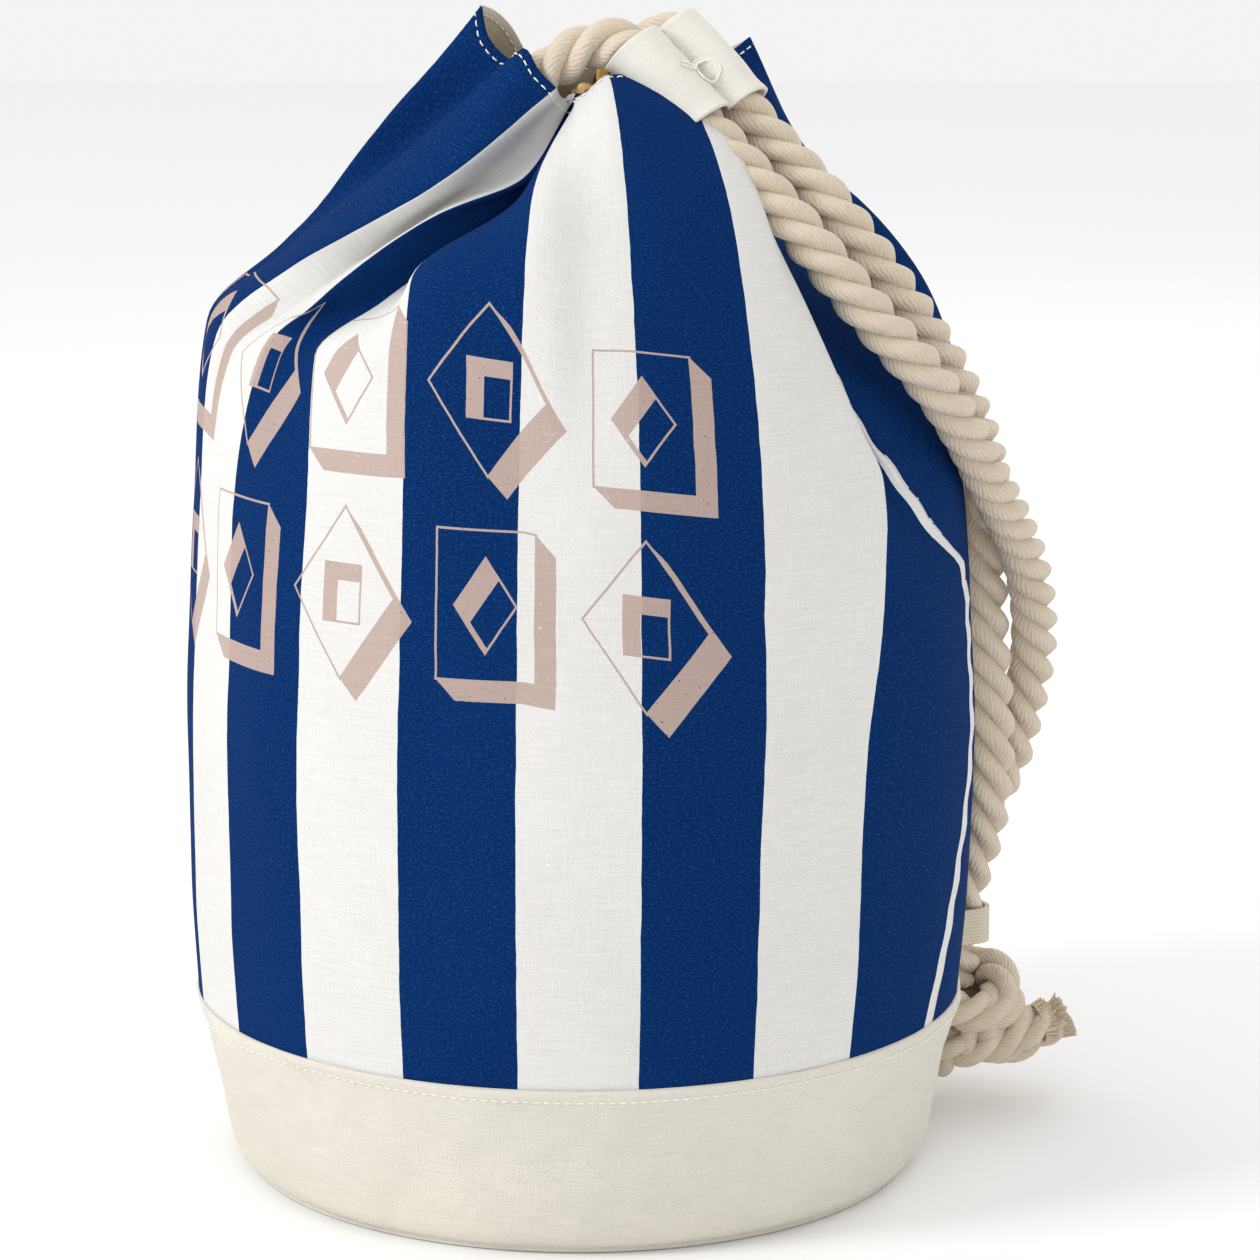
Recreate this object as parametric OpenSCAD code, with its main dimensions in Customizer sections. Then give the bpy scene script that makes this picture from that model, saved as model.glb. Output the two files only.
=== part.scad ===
// Round drawstring duffel bag in striped canvas, its mouth gathered on a thick three-strand
// cotton rope. Both rope tails run through a sewn canvas keeper, down the side of the bag,
// through a canvas tab at the band seam, and end in one stopper knot.
// Millimetres, +Z up. The origin is the centre of the base, on its underside.

/* [Bag] */
// Radius at the widest part of the wall
bag_r = 151; // [148:0.5:152]
// Radius of the wall at the top edge of the plain base band
seam_r = 147; // [145:0.5:147.5]
// Height of the plain base band
band_h = 66; // [60:1:68]
// Height of the gathered hem above the base
hem_z = 436; // [430:1:440]
// Radius of the gathered neck
neck_r = 53; // [52.5:0.5:55]
// Thickness of the canvas with its hem and seam layers
canvas_t = 2; // [1.6:0.1:2]

/* [Base] */
// Radius of the flat base disc
base_r = 128; // [124:1:129]
// Thickness of the stiffened base disc
base_t = 2.4; // [2:0.1:3]
// Radius of the rounded edge between base and band
base_edge_r = 14; // [12:1:15]

/* [Rope] */
// Diameter of the rope
rope_d = 18; // [17:0.5:18]
// Sides of the rope's tube
rope_sides = 12; // [8:1:12]

/* [Eyelets] */
// Outer diameter of an eyelet's flange
eyelet_d = 28.4; // [27:0.2:29]
// Clear bore of an eyelet
eyelet_bore = 19.8; // [19.4:0.2:20]
// Thickness of the eyelet's sheet brass
eyelet_t = 1; // [0.8:0.1:1.2]

/* [Keeper] */
// Radial room between the rope and the keeper's channels
keeper_gap = 0.6; // [0.5:0.1:0.8]
// Thickness of the keeper's canvas
keeper_t = 1.5; // [1.2:0.1:1.6]
// Length of the keeper's front channel
keeper_front_len = 38; // [34:1:38]
// Length of the keeper's rear channel
keeper_rear_len = 32; // [28:1:32]

/* [Tab] */
// Height of the anchor tab
tab_h = 14; // [10:1:16]
// Thickness of the anchor tab's webbing
tab_t = 1.6; // [1.2:0.1:1.8]

/* [Hidden] */
$fn = 96;

canvas_white = [0.90, 0.89, 0.87];
canvas_blue = [0.06, 0.20, 0.42];
canvas_natural = [0.88, 0.86, 0.81];
cotton = [0.79, 0.73, 0.65];
brass = [0.78, 0.62, 0.32];
eps = 0.05;

// ---- wall of revolution ----
wall_profile = [
    [seam_r, band_h], [150, 110], [bag_r, 170], [149, 215], [145.2, 260], [136, 292], [123, 318],
    [102.5, 346], [84, 366], [69, 385], [58, 404], [neck_r, 416], [neck_r, hem_z]
];
function inset(profile, t) = [for (p = profile) [p[0] - t, p[1]]];
// the front of the mouth is folded down under the ropes: from this height, over this sector
front_hem_z = 384;
front_sector = [-42, 98];
seam_azimuth = 68;
stitch_r = 0.45;

// a direction around the bag: 0 is the front, -Y, and 90 is +X
function around(azimuth, r, z) = [r * sin(azimuth), -r * cos(azimuth), z];

// ---- rope route ----
// Straight stretch that the keeper slides on: front rope's start, direction, and the step
// from the front rope to the rear one
keeper_start = [18, -40, 432];
slide_dir = unit([0.66, -0.27, -0.70]);
side_dir = unit([0.60, 0.72, 0.29]);
rope_step = 20.5 * side_dir;
straight_end = 96;
function front_at(s) = keeper_start + s * slide_dir;
function rear_at(s) = front_at(s) + rope_step;

front_tail = [
    [150, 66, 48], [144, 69, 60], [143, 70.8, 74], [148, 71, 92], [160, 67, 115], [170, 61, 138],
    [175, 53, 161], [177.5, 42, 184], [176.5, 29, 205], [172, 14, 226], [164, -5, 246],
    [154, -26, 266], [143, -46, 288], [128, -62, 311], [105, -69, 337]
];
neck_loop = [
    [7, -38.5, 431], [-7, -38, 424], [-19, -35, 412], [-29, -28, 399], [-37, -17, 387], [-41, 0, 380],
    [-37, 17, 378], [-26, 31, 380], [-11, 39, 386], [6, 37, 395], [18, 27, 407], [24, 12, 418],
    [27, -4, 427], [31.5, -18, 431]
];
rear_tail = [
    [115, -47, 343], [132, -35, 318], [145, -18, 293], [154, 2, 268], [156, 18, 244], [157, 27, 220],
    [158, 31, 200], [161, 35, 170], [162, 39, 140], [160, 46, 115], [154.5, 52, 92],
    [150.3, 53.7, 74], [150, 55, 62], [153, 61, 50]
];
route = concat(
    front_tail,
    [for (s = [straight_end, 72, 48, 26, 4]) front_at(s)],
    neck_loop,
    [for (s = [10, 30, 52, 74, straight_end]) rear_at(s)],
    rear_tail
);
neck_start = len(front_tail) + 5;

function unit(v) = v / norm(v);
function catmull(a, b, c, d, t) =
    0.5 * (2 * b + (c - a) * t + (2 * a - 5 * b + 4 * c - d) * t * t + (3 * b - a - 3 * c + d) * t * t * t);
function catmull_slope(a, b, c, d, t) =
    0.5 * ((c - a) + 2 * (2 * a - 5 * b + 4 * c - d) * t + 3 * (3 * b - a - 3 * c + d) * t * t);
function route_point(i) = route[max(0, min(len(route) - 1, i))];
function route_at(u) = let (i = floor(u))
    catmull(route_point(i - 1), route_point(i), route_point(i + 1), route_point(i + 2), u - i);
function route_dir(u) = let (i = floor(u))
    unit(catmull_slope(route_point(i - 1), route_point(i), route_point(i + 1), route_point(i + 2), u - i));

// a frame that leans as little as it can from one ring of the tube to the next
function next_side(side, dir) = unit(side - (side * dir) * dir);
function sides(dirs, i, side) =
    i == len(dirs) ? [] : let (s = next_side(side, dirs[i])) concat([s], sides(dirs, i + 1, s));

module tube(points, dirs, r, n) {
    side = sides(dirs, 0, cross(dirs[0], [0, 0, 1]));
    rings = [for (i = [0 : len(points) - 1], k = [0 : n - 1])
        let (a = 360 * k / n, up = cross(dirs[i], side[i]))
        points[i] + r * (cos(a) * side[i] + sin(a) * up)];
    last = len(points) - 1;
    skin = [for (i = [0 : last - 1], k = [0 : n - 1])
        let (a = i * n + k, b = i * n + (k + 1) % n) [a, a + n, b + n, b]];
    caps = [[for (k = [0 : n - 1]) k], [for (k = [n - 1 : -1 : 0]) last * n + k]];
    polyhedron(rings, concat(skin, caps), convexity = 10);
}

// ---- eyelets ----
// where each eyelet sits along the route, counted from the neck loop's first point
eyelet_count = 8;
eyelet_first = 3.1;
eyelet_pitch = 1.0;
function eyelet_u(i) = neck_start + eyelet_first + (i - 1) * eyelet_pitch;
fold_t = 3;
barrel_r = eyelet_bore / 2 + 1.3;

// local +Z runs along the rope, +X points away from the middle of the mouth
module at_eyelet(i) {
    p = route_at(eyelet_u(i));
    z = route_dir(eyelet_u(i));
    x = next_side(unit([p[0], p[1], 0]), z);
    y = cross(z, x);
    multmatrix([[x[0], y[0], z[0], p[0]], [x[1], y[1], z[1], p[1]], [x[2], y[2], z[2], p[2]]])
        children();
}

// ---- keeper ----
channel_r = rope_d / 2 + keeper_gap;
front_start = 6;
rear_start = 14;
// local +Z runs down the rope, +X from the front rope to the rear one
module at_keeper() {
    z = slide_dir;
    x = next_side(side_dir, z);
    y = cross(z, x);
    p = keeper_start;
    multmatrix([[x[0], y[0], z[0], p[0]], [x[1], y[1], z[1], p[1]], [x[2], y[2], z[2], p[2]]])
        children();
}
step = norm(rope_step);

// ---- anchor tab and knot ----
tab_azimuth = 113;
tab_z = band_h + 1;
tab_hole = [20, 38.6];
tab_r = seam_r + 1.2;
knot_at = [153, 65, 39];
knot_r = 20;

// ---- parts of the wall ----
module wall_shell() {
    outer = wall_profile;
    inner = inset(wall_profile, canvas_t);
    rotate_extrude($fn = 180)
        polygon(concat(outer, [for (i = [len(inner) - 1 : -1 : 0]) inner[i]]));
}

// the pleats that the gathered wall makes inside the neck, one for each eyelet
module inner_pleats() {
    for (i = [1 : eyelet_count]) {
        intersection() {
            at_eyelet(i)
                translate([-barrel_r - 5, -17, -fold_t / 2]) cube([80, 34, fold_t]);
            rotate_extrude($fn = 180)
                polygon(concat([[0, band_h]], inset(wall_profile, canvas_t / 2), [[0, hem_z]]));
        }
    }
}

module front_fold_cut() {
    translate([0, 0, front_hem_z])
        rotate([0, 0, front_sector[0] - 90])
            rotate_extrude(angle = front_sector[1] - front_sector[0], $fn = 96)
                square([110, hem_z - front_hem_z + 10]);
}

module wall_panel() {
    color(canvas_blue)
        difference() {
            union() {
                difference() {
                    wall_shell();
                    front_fold_cut();
                }
                inner_pleats();
            }
            for (i = [1 : eyelet_count])
                at_eyelet(i) cylinder(r = barrel_r + 0.1, h = 12, center = true);
        }
}

// turned-in edges of the wall panel, standing inward along the side seam
module side_seam_allowance() {
    depth = 9;
    foot_z = band_h + 7;
    run = [for (p = wall_profile) if (p[1] < 270) [p[0] - canvas_t - 0.3, max(p[1], foot_z)]];
    color(canvas_white)
        rotate([0, 0, seam_azimuth - 90])
            rotate_extrude(angle = 1, $fn = 180)
                polygon(concat(run, [for (i = [len(run) - 1 : -1 : 0]) [run[i][0] - depth, run[i][1]]]));
}

module hem_topstitching() {
    gap = 2;
    color("white")
        rotate([0, 0, front_sector[1] + gap - 90])
            rotate_extrude(angle = 360 - (front_sector[1] - front_sector[0]) - 2 * gap, $fn = 96)
                translate([neck_r + stitch_r + eps, hem_z - 8]) circle(r = stitch_r, $fn = 16);
}

// ---- base ----
module base_band() {
    edge = [for (a = [-90 : 15 : 0])
        [base_r + 1 + base_edge_r * cos(a) / 1.4, base_edge_r * (1 + sin(a))]];
    outer = concat(edge, [[seam_r - 2, 40], [seam_r - eps, band_h - eps]]);
    inner = [for (p = outer) [p[0] - canvas_t, max(p[1], canvas_t * 0.4)]];
    color(canvas_natural)
        rotate_extrude($fn = 180)
            polygon(concat([[base_r + 0.1, 0]], outer, [for (i = [len(inner) - 1 : -1 : 1]) inner[i]],
                           [[base_r + 0.1, 3]]));
}

module band_topstitching() {
    color(canvas_natural)
        rotate_extrude($fn = 180)
            translate([seam_r + stitch_r + 0.2, band_h - 5]) circle(r = stitch_r, $fn = 16);
}

// folded tape that binds the raw edges of the band seam on the inside
module band_seam_tape() {
    tape_r = seam_r - canvas_t - 2.2;
    color(canvas_natural)
        rotate_extrude($fn = 180)
            translate([tape_r - 1, band_h - 5.5]) square([1.6, 10]);
}

module base_disc() {
    color(canvas_natural)
        rotate_extrude($fn = 180) square([base_r, base_t]);
}

module base_binding() {
    color(canvas_natural)
        rotate_extrude($fn = 180)
            translate([base_r - 5, base_t + eps]) square([1.6, 9]);
}

// ---- hardware ----
module eyelet(i) {
    r = eyelet_bore / 2;
    color(brass)
        at_eyelet(i)
            rotate_extrude($fn = 64)
                polygon([
                    [r, -fold_t / 2 - eyelet_t], [barrel_r, -fold_t / 2 - eyelet_t],
                    [barrel_r, fold_t / 2 + eps], [eyelet_d / 2, fold_t / 2 + eps],
                    [eyelet_d / 2, fold_t / 2 + eyelet_t * 0.5], [eyelet_d / 2 - 1, fold_t / 2 + eyelet_t],
                    [r + 1, fold_t / 2 + eyelet_t], [r, fold_t / 2 + eyelet_t * 0.5]
                ]);
}

module eyelet_washer(i) {
    color(brass)
        at_eyelet(i)
            translate([0, 0, -fold_t / 2 - eyelet_t])
                difference() {
                    cylinder(r = eyelet_d / 2 - 0.4, h = eyelet_t - eps, $fn = 64);
                    translate([0, 0, -1]) cylinder(r = barrel_r + eps, h = eyelet_t + 2, $fn = 64);
                }
}

// ---- rope ----
module rope() {
    rings = 74;
    us = [for (i = [0 : rings]) i * (len(route) - 1.001) / rings];
    color(cotton)
        tube([for (u = us) route_at(u)], [for (u = us) route_dir(u)], rope_d / 2, rope_sides);
}

// both tails tied together: the knot's body and the two cut ends
module rope_knot() {
    color(cotton)
        union() {
            for (dz = [-5, 6])
                translate(knot_at + [0, 0, dz]) sphere(r = knot_r, $fn = 48);
            translate(knot_at + around(tab_azimuth + 90, 7, 0)) sphere(r = knot_r - 2, $fn = 48);
            knot_end([186, 52, 33]);
            knot_end([197, 64, 31]);
        }
}

module knot_end(tip) {
    v = tip - knot_at;
    translate(knot_at)
        rotate([0, acos(v[2] / norm(v)), atan2(v[1], v[0])])
            cylinder(r = rope_d / 2, h = norm(v), $fn = 32);
}

// ---- keeper ----
module keeper_channel(x, start, length, r) {
    translate([x, 0, start]) cylinder(r = r, h = length, $fn = 64);
}

module keeper_sleeve() {
    color(canvas_white)
        at_keeper()
            difference() {
                union() {
                    keeper_channel(0, front_start, keeper_front_len, channel_r + keeper_t);
                    keeper_channel(step, rear_start, keeper_rear_len, channel_r + keeper_t);
                }
                keeper_channel(0, 0, 60, channel_r);
                keeper_channel(step, 0, 60, channel_r);
            }
}

// round thread tack where the keeper's two channels are pinched and sewn together
module keeper_tack() {
    color("white")
        at_keeper()
            translate([step / 2, 7.4, front_start + keeper_front_len / 2 + 3])
                rotate([-90, 0, 0]) cylinder(r = 4.5, h = 2, $fn = 48);
}

// ---- anchor tab ----
module rounded_rect(size, r) {
    hull_x = size[0] / 2 - r;
    hull_y = size[1] / 2 - r;
    union() {
        square([size[0] - 2 * r, size[1]], center = true);
        square([size[0], size[1] - 2 * r], center = true);
        for (x = [-hull_x, hull_x], y = [-hull_y, hull_y]) translate([x, y]) circle(r = r, $fn = 48);
    }
}

module at_tab() {
    translate(around(tab_azimuth, tab_r, tab_z)) rotate([0, 0, tab_azimuth - 90]) children();
}

// webbing loop sewn into the band seam, open upward for the two tails
module anchor_tab() {
    outer = [tab_hole[0] + 2 * tab_t, tab_hole[1] + 2 * tab_t];
    color(canvas_natural)
        at_tab()
            translate([outer[0] / 2, 0, 0])
                linear_extrude(height = tab_h)
                    difference() {
                        rounded_rect(outer, 8);
                        rounded_rect(tab_hole, 8 - tab_t);
                    }
}

// two bar tacks that hold the tab to the wall
module anchor_tab_stitching() {
    color("white")
        at_tab()
            for (y = [-8, 8])
                translate([tab_t + eps, y - 4, tab_h / 2 - 0.6]) cube([0.2, 8, 1.2]);
}

wall_panel();
side_seam_allowance();
hem_topstitching();
base_band();
band_topstitching();
band_seam_tape();
base_disc();
base_binding();
eyelet(1);  // eyelet_1
eyelet(2);  // eyelet_2
eyelet(3);  // eyelet_3
eyelet(4);  // eyelet_4
eyelet(5);  // eyelet_5
eyelet(6);  // eyelet_6
eyelet(7);  // eyelet_7
eyelet(8);  // eyelet_8
eyelet_washer(1);  // eyelet_washer_1
eyelet_washer(2);  // eyelet_washer_2
eyelet_washer(3);  // eyelet_washer_3
eyelet_washer(4);  // eyelet_washer_4
eyelet_washer(5);  // eyelet_washer_5
eyelet_washer(6);  // eyelet_washer_6
eyelet_washer(7);  // eyelet_washer_7
eyelet_washer(8);  // eyelet_washer_8
rope();
rope_knot();
keeper_sleeve();
keeper_tack();
anchor_tab();
anchor_tab_stitching();
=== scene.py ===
"""Looks for a round striped canvas duffel with a rope drawstring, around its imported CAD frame."""

import math

import bpy
import numpy as np
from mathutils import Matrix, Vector, noise


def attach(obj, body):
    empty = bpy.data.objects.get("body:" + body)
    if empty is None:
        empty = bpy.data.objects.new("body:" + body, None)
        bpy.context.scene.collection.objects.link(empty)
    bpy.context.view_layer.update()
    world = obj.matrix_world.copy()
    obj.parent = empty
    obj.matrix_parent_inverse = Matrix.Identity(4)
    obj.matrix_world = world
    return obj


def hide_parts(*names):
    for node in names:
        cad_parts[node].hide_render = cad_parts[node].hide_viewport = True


MM = 0.001
PI, TAU = math.pi, 2 * math.pi
rng = np.random.default_rng(7)

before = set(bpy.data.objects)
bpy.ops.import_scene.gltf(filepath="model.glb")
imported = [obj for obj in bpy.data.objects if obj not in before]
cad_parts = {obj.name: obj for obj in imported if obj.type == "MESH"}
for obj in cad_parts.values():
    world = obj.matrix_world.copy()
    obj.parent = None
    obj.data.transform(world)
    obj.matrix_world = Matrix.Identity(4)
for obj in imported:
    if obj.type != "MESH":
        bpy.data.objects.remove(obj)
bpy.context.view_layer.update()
scene = bpy.context.scene
scene.view_settings.view_transform = "Standard"

# ---------------------------------------------------------------- camera, light, floor
TILT = 12.4  # degrees the camera looks down
AIM = (0, 0, 0.22)  # the point that every lamp faces
cam = bpy.data.objects.new("camera", bpy.data.cameras.new("camera"))
cam.data.sensor_width = 36
cam.data.lens = 138
cam.data.shift_x = 0.041
cam.location = (0, -1.8, 0.60)
cam.rotation_euler = (math.radians(90 - TILT), 0, 0)
scene.collection.objects.link(cam)
scene.camera = cam


def lamp(name, where, size, watts):
    light = bpy.data.lights.new(name, "AREA")
    light.size, light.energy = size, watts
    ob = bpy.data.objects.new(name, light)
    ob.location = where
    aim = Vector(AIM) - Vector(where)
    ob.rotation_euler = aim.to_track_quat("-Z", "Y").to_euler()
    scene.collection.objects.link(ob)


lamp("key", (-2.3, -1.1, 1.7), 0.8, 34)
lamp("fill", (1.9, -1.6, 0.9), 1.6, 1.5)
lamp("back", (0.9, 1.6, 1.5), 1.2, 5)
lamp("top", (0.0, -0.2, 2.3), 1.3, 3)

# ---------------------------------------------------------------- shader helper


def srgb(r, g, b):
    def lin(c):
        c /= 255
        return c / 12.92 if c <= 0.04045 else ((c + 0.055) / 1.055) ** 2.4

    return (lin(r), lin(g), lin(b), 1.0)


NOISE_ROUGHNESS = 0.55


class Nodes:
    """Builds one material's node tree in a few words."""

    def __init__(self, name, rough, **sockets):
        self.mat = bpy.data.materials.new(name)
        self.mat.use_nodes = True
        self.tree = self.mat.node_tree
        self.bsdf = self.tree.nodes["Principled BSDF"]
        self.bsdf.inputs["Roughness"].default_value = rough
        for k, v in sockets.items():
            self.bsdf.inputs[k.replace("_", " ")].default_value = v

    def node(self, kind, *inputs, **props):
        n = self.tree.nodes.new("ShaderNode" + kind)
        for k, v in props.items():
            setattr(n, k, v)
        for i, v in enumerate(inputs):
            self.put(n.inputs[i], v)
        return n.outputs[0]

    def put(self, socket, v):
        if v is None:
            return
        if isinstance(v, E):
            v = v.s
        if isinstance(v, bpy.types.NodeSocket):
            self.tree.links.new(v, socket)
        else:
            socket.default_value = v

    def uv(self, name):
        n = self.tree.nodes.new("ShaderNodeUVMap")
        n.uv_map = name
        s = self.tree.nodes.new("ShaderNodeSeparateXYZ")
        self.tree.links.new(n.outputs[0], s.inputs[0])
        return E(self, s.outputs[0]), E(self, s.outputs[1])

    def place(self):
        n = self.tree.nodes.new("ShaderNodeTexCoord")
        return n.outputs["Object"]

    def noise(self, u, v, scale, detail=3, w=0.0):
        c = self.tree.nodes.new("ShaderNodeCombineXYZ")
        self.put(c.inputs[0], u)
        self.put(c.inputs[1], v)
        c.inputs[2].default_value = w
        return self.noise3(c.outputs[0], scale, detail)

    def noise3(self, vec, scale, detail=3):
        n = self.tree.nodes.new("ShaderNodeTexNoise")
        self.put(n.inputs["Vector"], vec)
        n.inputs["Scale"].default_value = scale
        n.inputs["Detail"].default_value = detail
        n.inputs["Roughness"].default_value = NOISE_ROUGHNESS
        return E(self, n.outputs[0])

    def mix(self, fac, a, b, blend="MIX"):
        n = self.tree.nodes.new("ShaderNodeMix")
        n.data_type, n.blend_type = "RGBA", blend
        self.put(n.inputs[0], fac)
        self.put(n.inputs[6], a)
        self.put(n.inputs[7], b)
        return n.outputs[2]

    def shade(self, colour, amount):
        """colour times a grey amount."""
        c = self.tree.nodes.new("ShaderNodeCombineColor")
        for i in range(3):
            self.put(c.inputs[i], amount)
        return self.mix(1.0, colour, c.outputs[0], "MULTIPLY")

    def finish(self, colour, height=None, depth=0.0003, rough=None):
        self.put(self.bsdf.inputs["Base Color"], colour)
        if rough is not None:
            self.put(self.bsdf.inputs["Roughness"], rough)
        if height is not None:
            n = self.tree.nodes.new("ShaderNodeBump")
            n.inputs["Distance"].default_value = depth
            self.put(n.inputs["Height"], height)
            self.tree.links.new(n.outputs[0], self.bsdf.inputs["Normal"])
        return self.mat


class E:
    """A number in a node tree, with ordinary arithmetic."""

    def __init__(self, nodes, socket):
        self.n, self.s = nodes, socket

    def op(self, kind, *others):
        return E(self.n, self.n.node("Math", self, *others, operation=kind))

    def __add__(self, o):
        return self.op("ADD", o)

    def __sub__(self, o):
        return self.op("SUBTRACT", o)

    def __mul__(self, o):
        return self.op("MULTIPLY", o)

    def __truediv__(self, o):
        return self.op("DIVIDE", o)

    def abs(self):
        return self.op("ABSOLUTE")

    def floor(self):
        return self.op("FLOOR")

    def wrap(self, m):
        return self.op("FLOORED_MODULO", m)

    def sin(self):
        return self.op("SINE")

    def over(self, o):
        return self.op("GREATER_THAN", o)

    def under(self, o):
        return self.op("LESS_THAN", o)

    def min(self, o):
        return self.op("MINIMUM", o)

    def max(self, o):
        return self.op("MAXIMUM", o)


# ---------------------------------------------------------------- mesh helpers


def mesh_object(name, verts, faces, uvs=None, uv_name="cloth", mats=(), smooth=True):
    me = bpy.data.meshes.new(name)
    me.from_pydata([tuple(v) for v in verts], [], [tuple(f) for f in faces])
    for m in mats:
        me.materials.append(m)
    if uvs is not None:
        layer = me.uv_layers.new(name=uv_name)
        layer.data.foreach_set("uv", np.asarray(uvs, np.float32).ravel())
    me.polygons.foreach_set("use_smooth", [smooth] * len(me.polygons))
    me.update()
    ob = bpy.data.objects.new(name, me)
    scene.collection.objects.link(ob)
    return ob


def grid_faces(rows, cols, wrap=False):
    """Quads of a rows x cols grid of points; wrap joins the last column to the first."""
    i, j = np.meshgrid(np.arange(rows - 1), np.arange(cols if wrap else cols - 1), indexing="ij")
    j2 = (j + 1) % cols
    quads = [i * cols + j, i * cols + j2, (i + 1) * cols + j2, (i + 1) * cols + j]
    return np.stack(quads, -1).reshape(-1, 4)


def solidify(ob, thick, offset, mat_offset=0):
    """Give a sheet its thickness, with mat_offset picking the inner face's material."""
    m = ob.modifiers.new("thickness", "SOLIDIFY")
    m.thickness, m.offset, m.material_offset = thick, offset, mat_offset
    m.material_offset_rim = 0
    dg = bpy.context.evaluated_depsgraph_get()
    me = bpy.data.meshes.new_from_object(ob.evaluated_get(dg))
    ob.modifiers.clear()
    ob.data = me


def unit(v):
    v = np.asarray(v, float)
    return v / np.linalg.norm(v, axis=-1, keepdims=True)


def catmull(points, per=12):
    """A smooth curve through the points: a uniform Catmull-Rom spline."""
    p = np.asarray(points, float)
    p = np.vstack([2 * p[0] - p[1], p, 2 * p[-1] - p[-2]])
    t = np.linspace(0, 1, per, endpoint=False)[:, None]
    out = []
    for a, b, c, d in zip(p, p[1:], p[2:], p[3:]):
        out.append(0.5 * (2 * b + (c - a) * t + (2 * a - 5 * b + 4 * c - d) * t**2
                          + (3 * b - a - 3 * c + d) * t**3))
    return np.vstack(out + [p[-2:-1]])


def even(path, step):
    """The path again, at an even spacing near step."""
    d = np.r_[0, np.cumsum(np.linalg.norm(np.diff(path, axis=0), axis=1))]
    n = max(4, int(round(d[-1] / step)))
    s = np.linspace(0, d[-1], n + 1)
    return np.stack([np.interp(s, d, path[:, k]) for k in range(3)], 1), s


def frames(path):
    """Unit tangents and two normals carried along the path without twist."""
    t = unit(np.gradient(path, axis=0))
    n = np.zeros_like(t)
    start = np.cross(t[0], [0, 0, 1.0])
    if np.linalg.norm(start) < 0.1:
        start = np.cross(t[0], [0, 1.0, 0])
    n[0] = unit(start)
    for i in range(1, len(path)):
        v = n[i - 1] - t[i] * np.dot(n[i - 1], t[i])
        n[i] = v / np.linalg.norm(v)
    return t, n, np.cross(t, n)


# ---------------------------------------------------------------- materials
NAVY, NAVY_DEEP = srgb(3, 48, 106), srgb(0, 37, 88)
WHITE = srgb(229, 228, 225)
NATURAL = srgb(228, 223, 212)
CREAM = srgb(226, 217, 200)
TAUPE = srgb(190, 168, 158)
ROPE = srgb(230, 218, 198)
ROPE_DARK = srgb(200, 180, 152)
COTTON = srgb(234, 231, 222)

RING = 0.942  # the panel's cloth width round the bag
STRIPE = 17.0  # degrees of cloth in one stripe
FIRST_BLUE = 59.5  # cloth angle of the first blue stripe's right edge, in degrees
# the print, in cloth millimetres
ROW_LOW, ROW_HIGH = 176.0, 253.0  # heights of the two rows
PRINT_LEFT, PRINT_RIGHT = -233.0, 57.0
TILE_PITCH, TILE_HALF_W, TILE_HALF_H = 58.0, 18.5, 27.0
TILE_START = 31.0  # one tile's cell is centred this far left of the front's middle
TILE_SHIFT = 3.0  # a tile sits this far left of its cell's middle and above its row's middle
ROW_SLOPE, SLOPE_START = 0.16, 20.0  # the rows fall to the right, from this far left of the front
BLOCK_DROP = 7.5  # how far the block shadow runs down and to the right
LINE_HALF = 0.42  # half the width of the outlines
DIAGONAL = 0.707  # turns a sum of x and y into a distance across the corner
YARNS = 17  # yarns round one strand of the rope


def weave_height(m, u, v, pitch):
    """Plain weave with slubs, 0 to 1: u runs round the cloth and v up it, in metres."""
    k = TAU / pitch
    wu, wv = (u * k).sin(), (v * k).sin()
    over = wu * wv
    slub_h = m.noise(u * 55.0, v * 1150.0, 1.0, 2)
    slub_v = m.noise(u * 1150.0, v * 75.0, 1.0, 2, w=4.0)
    return over * 0.22 + slub_h * 0.9 + slub_v * 0.55


def canvas(name, base, deep, pitch=0.0011, depth=0.00022):
    """Plain canvas, a little darker in clouds."""
    m = Nodes(name, rough=0.95, Specular_IOR_Level=0.08)
    u, v = m.uv("cloth")
    h = weave_height(m, u, v, pitch)
    cloud = m.noise(u, v, 16.0, 4, w=2.0)
    tone = h * 0.17 + cloud * 0.14 + 0.75
    colour = m.mix(cloud * 0.5, base, deep)
    return m.finish(m.shade(colour, tone), h, depth)


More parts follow.
